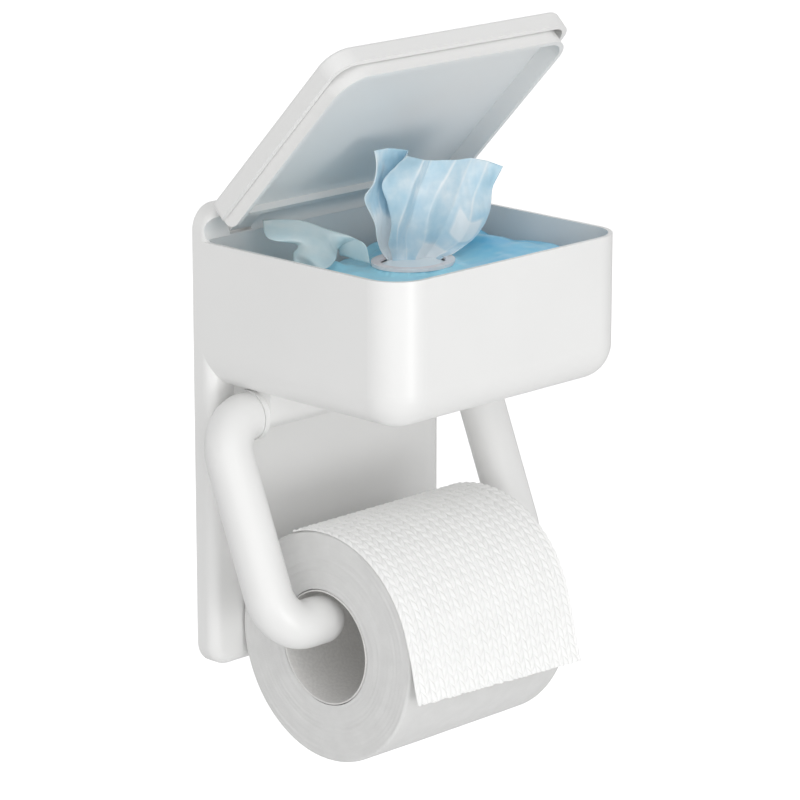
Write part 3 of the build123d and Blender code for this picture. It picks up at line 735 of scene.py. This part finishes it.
# Fold lines of the popped wipe, from its left edge round the back layer to its right edge. Each runs from
# the mouth to the top as (height of the row, place across, depth towards the viewer).
FOLD_LINES = (
    (
        (72, -6, -8), (78, -8, -9), (81, -10.5, -9), (88, -15, -4), (97, -18.5, 1), (108, -23.5, 2),
        (114, -18.5, 0), (121, -15.5, -4), (126.5, -15.5, -6),
    ),
    (
        (72, -5, -9), (79, -7, -10), (88, -11, -8), (98, -13, -4), (108, -14, -5), (118, -10, -8),
        (126.5, -8, -9),
    ),
    ((72, -3, -9), (79, -4, -10), (88, -5, -9), (98, -6, -7), (111, -3, -8), (124.5, 2, -10)),
    (
        (72, -5, -8), (79, -6, -8), (86, -9.6, -4), (95, -10.3, 1), (105, -12.3, 1), (113, -14, -1),
        (119, -8, -2), (123.5, -1, -3),
    ),
    (
        (72, -3, -7), (79, -4, -7), (87, -7, -1.5), (96, -8, 3.5), (105, -5.5, 5), (114, -2, 5),
        (122.5, 3.5, 3),
    ),
    ((72, 0, -7), (80, 0, -6), (88, -1.5, -4), (97, -0.5, -1), (110, 4, -1.5), (121, 9, -2)),
    (
        (72, 3, -6), (79, 4, -5), (87, 5, 1), (96, 5, 3.5), (106, 9, 3.5), (116, 16, 1.5),
        (120.5, 20, 0),
    ),
    ((72, 7, -7), (79, 9.5, -6), (88, 13, -1), (98, 17, 1), (112, 24, -1), (120.5, 28, -1)),
    (
        (72, 10, -6), (77.5, 13, -5), (81, 17, -2), (86, 22, 2), (92, 25, 3), (104, 29, 0),
        (118.5, 36, -1),
    ),
    (
        (72, 11, -3), (77.5, 13.5, -1), (80, 18.5, 1), (83.5, 25, 1), (89, 31.5, 1), (97, 36.5, 0),
        (106, 38.5, -2), (115.5, 43, -1),
    ),
)
WIPE_ACROSS = 270
WIPE_ALONG = 110
# The wipe faces this far to the left, and is folded rather than rounded at its fold lines
WIPE_TURN = radians(20)
WIPE_SOFTNESS = 0.3
# Fine crinkles that run up the cloth, and its wider sag: depth and size
CRINKLE_DEPTH = 0.35
CRINKLE_SIZE = 2.6
CRINKLE_STRETCH = 3
SAG_DEPTH = 0.9
SAG_SIZE = 11
# How pale the cloth is, from 0 to 1: plain, and what painted glints on folds, doubled cloth with painted
# highlight, its rear layer with painted shade and chance add
PALE_PLAIN = 0.22
PAINTED_FOLD_GLINT = 0.5
PALE_DOUBLED_AND_HIGHLIGHT = 0.75
REAR_TONE_AND_SHADE = -0.3
PALE_CHANCE = 0.15
FOLD_WIDTH = 0.07
# Where it is doubled, with a painted highlight, or in its rear layer, with painted shade: from none to full
# and from full to none again, counted in fold lines from its left edge and in shares of the way to its top
UPPER_LINES = (7.2, 7.5, 8.5, 8.9)
UPPER_HEIGHTS = (0.45, 0.5, 0.66, 0.7)
LOWER_LINES = (5.9, 6.2, 8.0, 8.4)
LOWER_END = (0.28, 0.34)
FLAP_LINES_END = (2.6, 3.0)
FLAP_END = (0.45, 0.6)
REAR_LINES = (0.1, 0.5, 2.5, 2.9)
REAR_START = (0.45, 0.7)


def wipe_paleness_and_light(line, height):
    """How pale the popped wipe is, with painted glints, highlight and shade, at a place counted in fold lines
    and a share of the way to its top.
    """
    # The lines along the folds are painted glints, each fold's glint of a random strength
    bright = 0.35 + 0.65 * noise.noise(Vector((round(line) * 7.3, height * 3, 1)))
    fold = bright * exp(-((abs(line - round(line)) / FOLD_WIDTH) ** 2))
    # Doubled cloth is paler, and a painted highlight adds to it
    upper = band(line, *UPPER_LINES) * band(height, *UPPER_HEIGHTS)
    lower = band(line, *LOWER_LINES) * (1 - smooth_step(height, *LOWER_END))
    flap = (1 - smooth_step(line, *FLAP_LINES_END)) * (1 - smooth_step(height, *FLAP_END))
    # The rear layer's deeper tone carries painted shade
    rear = band(line, *REAR_LINES) * smooth_step(height, *REAR_START)
    chance = noise.noise(Vector((line, height * 2, 5)))
    shade = PALE_PLAIN + PAINTED_FOLD_GLINT * fold + PALE_DOUBLED_AND_HIGHLIGHT * max(upper, lower, flap)
    shade += REAR_TONE_AND_SHADE * rear + PALE_CHANCE * chance
    return min(1.0, max(0.0, shade))


class HOLDER_OT_popped_wipe(bpy.types.Operator):
    """Make the wipe that stands out of the mouth"""

    bl_idname = "holder.popped_wipe"
    bl_label = "Popped wipe"

    def execute(self, context):
        aside = Vector((cos(WIPE_TURN), -sin(WIPE_TURN), 0))
        ahead = Vector((-sin(WIPE_TURN), -cos(WIPE_TURN), 0))
        root = Vector((MOUTH_X, MOUTH_Y, 0))
        columns = [
            [root + aside * a + ahead * d + Vector((0, 0, z)) for z, a, d in line] for line in FOLD_LINES
        ]
        points = patch(columns, WIPE_ACROSS, WIPE_ALONG, WIPE_SOFTNESS)
        for point in points:
            crinkle = noise.noise(Vector((point.x, point.y, point.z / CRINKLE_STRETCH)) / CRINKLE_SIZE)
            sag = noise.noise(point / SAG_SIZE)
            point += ahead * (CRINKLE_DEPTH * crinkle + SAG_DEPTH * sag)
        faces = grid_faces(WIPE_ACROSS, WIPE_ALONG)
        piece = write_mesh("popped_cloth", points, faces, spunlace(), "housing")
        lines = [k / (WIPE_ACROSS - 1) * (len(columns) - 1) for k in range(WIPE_ACROSS)]
        heights = [j / (WIPE_ALONG - 1) for j in range(WIPE_ALONG)]
        paint_paleness_and_light(piece, [wipe_paleness_and_light(line, height) for height in heights for line in lines])
        reshape(piece, "SOLIDIFY", thickness=context.scene.holder_wipes.wipe_thickness, offset=0.0)
        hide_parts("popped_wipe")
        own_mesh(piece)
        return {"FINISHED"}


# Cardboard tube: points round it, steps along its bore, its wall, and its edges softened along and in
CORE_AROUND = 120
CORE_STEPS = 60
CORE_WALL = 1.2
CARD_EDGE_ALONG = 0.2
CARD_EDGE_IN = 0.3
# The wound strip's edge is a low step that climbs along the tube by this much in one turn
STRIP_CLIMB = 70
STRIP_STEP = 0.2


def on_roll(x, radius, turn):
    """Point at a place across, a distance from the roll's axis and a turn upwards from straight behind."""
    return (x, ROLL_Y + radius * cos(turn), ROLL_Z + radius * sin(turn))


class HOLDER_OT_paper_core(bpy.types.Operator):
    """Make the cardboard tube"""

    bl_idname = "holder.paper_core"
    bl_label = "Cardboard core"

    def execute(self, context):
        inner = CORE_RADIUS - CORE_WALL
        left, right = ROLL_LEFT + CARD_EDGE_ALONG, ROLL_RIGHT - CARD_EDGE_ALONG
        profile = [
            (left, inner),
            (ROLL_LEFT, inner + CARD_EDGE_IN),
            (ROLL_LEFT, CORE_RADIUS - CARD_EDGE_IN),
            (ROLL_RIGHT, CORE_RADIUS - CARD_EDGE_IN),
            (ROLL_RIGHT, inner + CARD_EDGE_IN),
            (right, inner),
        ]
        profile += [(right + (left - right) * k / CORE_STEPS, inner) for k in range(1, CORE_STEPS)]
        points = []
        for x, radius in profile:
            for k in range(CORE_AROUND):
                along = (x / STRIP_CLIMB + k / CORE_AROUND) % 1.0
                seam = STRIP_STEP * smooth_step(along, 0.0, 0.02) if radius == inner else 0
                points.append(on_roll(x, radius + seam, 2 * pi * k / CORE_AROUND))
        # The last ring is joined to the first, so that the tube is closed
        faces = grid_faces(CORE_AROUND, len(profile), True)
        last = (len(profile) - 1) * CORE_AROUND
        for k in range(CORE_AROUND):
            after = (k + 1) % CORE_AROUND
            faces.append((last + k, last + after, after, k))
        piece = write_mesh("card_core", points, faces, card(), "roll")
        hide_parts("paper_core")
        return {"FINISHED"}


# Wound paper: points round it, rings on each face, in each rounded edge and between the edges
ROLL_AROUND = 240
ROLL_LAYERS = 46
ROLL_EDGE_STEPS = 5
ROLL_STEPS = 30
ROLL_EDGE = 1.2
# It stands clear of the core, of its outermost size and of the core's ends
CORE_CLEAR = 0.05
ROLL_SHY = 0.25
FACE_SHY = 0.35
# Its faces ripple from layer to layer and more widely, and its outside swells more widely still
ROLL_RIPPLE = 0.25
RIPPLE_SIZE = 14
SWELL_SIZE = 40
# Shift of the noise between the two faces, so that they don't mirror each other
FACE_SHIFT = 9
FACE_APART = 7.0


def roll_profile():
    """Outline of the wound paper as (place across, radius, face), with face 1 left, -1 right, 0 outside."""
    inner = CORE_RADIUS + CORE_CLEAR
    outer = ROLL_RADIUS - ROLL_SHY
    face_left = ROLL_LEFT + FACE_SHY
    profile = []
    for k in range(ROLL_LAYERS + 1):
        profile.append((face_left, inner + (outer - ROLL_EDGE - inner) * k / ROLL_LAYERS, 1))
    for k in range(1, ROLL_EDGE_STEPS + 1):
        turn = pi / 2 * k / ROLL_EDGE_STEPS
        profile.append((face_left + ROLL_EDGE * (1 - cos(turn)), outer - ROLL_EDGE * (1 - sin(turn)), 0))
    mirrored = [(ROLL_LEFT + ROLL_RIGHT - x, radius, -face) for x, radius, face in reversed(profile)]
    for k in range(1, ROLL_STEPS):
        profile.append((ROLL_LEFT + (ROLL_RIGHT - ROLL_LEFT) * k / ROLL_STEPS, outer, 0))
    return profile + mirrored


class HOLDER_OT_wound_paper(bpy.types.Operator):
    """Make the wound paper, with the edges of its layers on both faces"""

    bl_idname = "holder.wound_paper"
    bl_label = "Wound paper"

    def execute(self, context):
        profile = roll_profile()
        points = []
        for x, radius, face in profile:
            for k in range(ROLL_AROUND):
                turn = 2 * pi * k / ROLL_AROUND
                ripple, swell = 0.0, 0.0
                if face:
                    layer = noise.noise(Vector((radius * 0.9, cos(turn), sin(turn) + FACE_SHIFT * face)))
                    place = Vector((radius * cos(turn), radius * sin(turn), FACE_APART * face))
                    wide = noise.noise(place / RIPPLE_SIZE)
                    ripple = face * (ROLL_RIPPLE * layer + ROLL_RIPPLE * wide)
                else:
                    swell = ROLL_RIPPLE * noise.noise(Vector((x / SWELL_SIZE, 2 * cos(turn), 2 * sin(turn))))
                points.append(on_roll(x + ripple, radius + swell, turn))
        faces = grid_faces(ROLL_AROUND, len(profile), True)
        # The wound paper is the same tissue as the loose sheet, drawn grey: its grey is painted shade
        finish = tissue("wound_tissue_painted_shade", "DEDEDD", "DADAD9")
        piece = write_mesh("wound_paper", points, faces, finish, "roll")
        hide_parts("paper_roll")
        return {"FINISHED"}


# Loose sheet: its points, its gap to the wound paper, how far round the roll it lies and how it hangs
SHEET_ACROSS = 300
SHEET_ALONG = 350
SHEET_GAP = 0.15
SHEET_WRAP = radians(112)
SHEET_THICKNESS = 0.2
# Length of the hanging end at its left, how much longer it is at its right, and the depth and number of
# the teeth of its torn edge
SHEET_DROP = 12.5
SHEET_SLANT = 4.0
TEAR_DEPTH = 0.5
TEAR_TEETH = 60
# The end springs forward from the roll: how far above the roll's front it starts, over what length it
# comes forward by how much, and how sharply it bends
FLARE_START = 14
FLARE_LENGTH = 30
FLARE_DEPTH = 6.0
FLARE_BEND = 1.6
# Stitches of the embossing: rows in a column's width, how much each half leans, and how full a leaf is
STITCH_ROWS = 1.35
STITCH_LEAN = 1.5
STITCH_FULLNESS = 0.6


def stitch(x, s, pitch):
    """Height, 0 to 1, of a knit-like embossing: columns of small leaves that lean left and right in turn."""
    u = x / pitch % 1.0 - 0.5
    side = 1 if u > 0 else -1
    v = (s / pitch * STITCH_ROWS - side * u * STITCH_LEAN) % 1.0 - 0.5
    across = (abs(u) - 0.25) / 0.25
    leaf = max(0.0, 1 - across**2) * max(0.0, 1 - (2 * v) ** 2)
    return leaf**STITCH_FULLNESS


class HOLDER_OT_loose_sheet(bpy.types.Operator):
    """Make the loose end of the paper: over the roll, down its front, to a torn edge"""

    bl_idname = "holder.loose_sheet"
    bl_label = "Loose sheet"

    def execute(self, context):
        paper = context.scene.holder_paper
        pitch = paper.emboss_pitch / MM
        depth = paper.emboss_depth / MM
        radius = ROLL_RADIUS + SHEET_GAP
        arc = radius * SHEET_WRAP
        points = []
        for j in range(SHEET_ALONG):
            for k in range(SHEET_ACROSS):
                share = k / (SHEET_ACROSS - 1)
                ragged = noise.noise(Vector((share * TEAR_TEETH, 0.5, 0)))
                drop = SHEET_DROP + SHEET_SLANT * share + TEAR_DEPTH * ragged
                s = (arc + drop) * j / (SHEET_ALONG - 1)
                x = ROLL_LEFT + (ROLL_RIGHT - ROLL_LEFT) * share
                flare = FLARE_DEPTH * max(0.0, (s - arc + FLARE_START) / FLARE_LENGTH) ** FLARE_BEND
                lift = depth * stitch(x - ROLL_LEFT, s, pitch) + flare
                if s < arc:
                    # Wound on the roll, counted from straight in front
                    points.append(on_roll(x, radius + lift, pi - (SHEET_WRAP - s / radius)))
                else:
                    points.append((x, ROLL_Y - radius - lift, ROLL_Z - s + arc))
        faces = grid_faces(SHEET_ACROSS, SHEET_ALONG)
        finish = tissue("creped_tissue", paper.paper_colour, "FAFAF9")
        piece = write_mesh("loose_sheet", points, faces, finish, "tail")
        reshape(piece, "SOLIDIFY", thickness=SHEET_THICKNESS * MM, offset=0.0)
        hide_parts("tail_sheet")
        return {"FINISHED"}


# Camera: fitted to the photograph's edges of the plate, tub, lid, arms and roll
PHOTO_SIDE = 800
FOCAL_PIXELS = 3945.0
AIM = Vector((17.4, -37.0, 7.3)) * MM
CAMERA_DISTANCE = 1.735
CAMERA_AZIMUTH = -45.36
CAMERA_ELEVATION = 15.14
# Floor, in metres, and how brightly it glows for the camera alone
FLOOR_Z = -0.42
FLOOR_REACH = 12.0
FLOOR_GLOW = 0.6
# Lights: side of the square, azimuth and elevation they come from, and distance, all aimed at one point
LIGHT_AIM = (0, -0.05, 0)
KEY_SIDE = 3.2
KEY_FROM = (-42, 16)
KEY_DISTANCE = 2.4
LOW_SIDE = 0.45
LOW_FROM = (-5, -8)
LOW_DISTANCE = 1.5
WHITE = (1, 1, 1, 1)


def heading(azimuth, elevation):
    """Direction from the object to a viewer at these angles in degrees, azimuth 0 being straight in front."""
    turn, lift = radians(azimuth), radians(elevation)
    return Vector((sin(turn) * cos(lift), -cos(turn) * cos(lift), sin(lift)))


def soft_light(name, power, side, place):
    """A square soft light that faces the object."""
    lamp = bpy.data.lights.new(name, "AREA")
    lamp.energy = power
    lamp.shape = "SQUARE"
    lamp.size = side
    light = bpy.data.objects.new(name, lamp)
    light.location = place
    light.rotation_euler = (Vector(LIGHT_AIM) - place).to_track_quat("-Z", "Y").to_euler()
    bpy.context.scene.collection.objects.link(light)


def pale_room(sky):
    """Surroundings that light evenly, and are white to the camera, in reflections and through glass."""
    world = bpy.data.worlds.new("pale_room")
    world.use_nodes = True
    tree = world.node_tree
    tree.nodes.clear()
    rays = add_node(tree, "ShaderNodeLightPath")
    mirrored = add_node(
        tree, "ShaderNodeMath", links={0: (rays, "Is Camera Ray"), 1: (rays, "Is Glossy Ray")},
        operation="MAXIMUM",
    )
    direct = add_node(
        tree, "ShaderNodeMath", links={0: (mirrored, 0), 1: (rays, "Is Transmission Ray")},
        operation="MAXIMUM",
    )
    even = add_node(tree, "ShaderNodeBackground", {"Color": WHITE, "Strength": sky})
    bright = add_node(tree, "ShaderNodeBackground", {"Color": WHITE, "Strength": 1.0})
    mixed = add_node(tree, "ShaderNodeMixShader", links={0: (direct, 0), 1: (even, 0), 2: (bright, 0)})
    add_node(tree, "ShaderNodeOutputWorld", links={"Surface": (mixed, 0)})
    bpy.context.scene.world = world


def white_floor():
    """A wide painted floor, which the camera sees as white and which keeps the object's shadow."""
    made, tree, shader = start_material("matt_white_paint", Roughness=0.95)[:3]
    shader.inputs["Base Color"].default_value = linear("F5F5F5")
    shader.inputs["Emission Color"].default_value = WHITE
    rays = add_node(tree, "ShaderNodeLightPath")
    glow = add_node(
        tree, "ShaderNodeMath", {1: FLOOR_GLOW}, {0: (rays, "Is Camera Ray")}, operation="MULTIPLY"
    )
    tree.links.new(glow.outputs[0], shader.inputs["Emission Strength"])
    mesh = bpy.data.meshes.new("floor")
    corners = ((-1, -1), (1, -1), (1, 1), (-1, 1))
    mesh.from_pydata([(x * FLOOR_REACH, y * FLOOR_REACH, FLOOR_Z) for x, y in corners], [], [(0, 1, 2, 3)])
    mesh.materials.append(made)
    floor = bpy.data.objects.new("floor", mesh)
    bpy.context.scene.collection.objects.link(floor)
    return floor


def photo_camera():
    """The camera that sees the object as the photograph does."""
    camera = bpy.data.cameras.new("photo_camera")
    camera.angle = 2 * atan(PHOTO_SIDE / 2 / FOCAL_PIXELS)
    view = bpy.data.objects.new("photo_camera", camera)
    back = heading(CAMERA_AZIMUTH, CAMERA_ELEVATION)
    view.location = AIM + back * CAMERA_DISTANCE
    view.rotation_euler = back.to_track_quat("Z", "Y").to_euler()
    bpy.context.scene.collection.objects.link(view)
    bpy.context.scene.camera = view


class HOLDER_OT_stage(bpy.types.Operator):
    """Set up the floor, the pale surroundings, the lights and the camera"""

    bl_idname = "holder.stage"
    bl_label = "Stage"

    def execute(self, context):
        stage = context.scene.holder_stage
        pale_room(stage.sky)
        floor = white_floor()
        soft_light("key_light", stage.key_power, KEY_SIDE, heading(*KEY_FROM) * KEY_DISTANCE)
        soft_light("low_light", stage.low_power, LOW_SIDE, heading(*LOW_FROM) * LOW_DISTANCE)
        photo_camera()
        context.scene.view_settings.view_transform = "Standard"
        return {"FINISHED"}


OPERATORS = (
    HOLDER_OT_hard_parts,
    HOLDER_OT_wipes_pouch,
    HOLDER_OT_wipe_stack,
    HOLDER_OT_peeled_label,
    HOLDER_OT_popped_wipe,
    HOLDER_OT_paper_core,
    HOLDER_OT_wound_paper,
    HOLDER_OT_loose_sheet,
    HOLDER_OT_stage,
)
GROUPS = {
    "holder_plastic": PlasticSettings,
    "holder_wipes": WipesSettings,
    "holder_paper": PaperSettings,
    "holder_stage": StageSettings,
}


class HOLDER_PT_sidebar(bpy.types.Panel):
    """Lists the pieces of the holder"""

    bl_label = "Toilet paper holder"
    bl_idname = "HOLDER_PT_sidebar"
    bl_space_type = "VIEW_3D"
    bl_region_type = "UI"
    bl_category = "Holder"

    def draw(self, context):
        for group in GROUPS:
            values = getattr(context.scene, group)
            for name in values.__annotations__:
                self.layout.prop(values, name)
        for operator in OPERATORS:
            self.layout.operator(operator.bl_idname)


def register():
    for made in (*GROUPS.values(), *OPERATORS, HOLDER_PT_sidebar):
        bpy.utils.register_class(made)
    for name, group in GROUPS.items():
        setattr(bpy.types.Scene, name, PointerProperty(type=group))


def unregister():
    for name in GROUPS:
        delattr(bpy.types.Scene, name)
    for made in reversed((*GROUPS.values(), *OPERATORS, HOLDER_PT_sidebar)):
        bpy.utils.unregister_class(made)


def main():
    """Register the add-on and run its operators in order."""
    register()
    for operator in OPERATORS:
        group, name = operator.bl_idname.split(".")
        getattr(getattr(bpy.ops, group), name)()


if __name__ == "__main__":
    main()
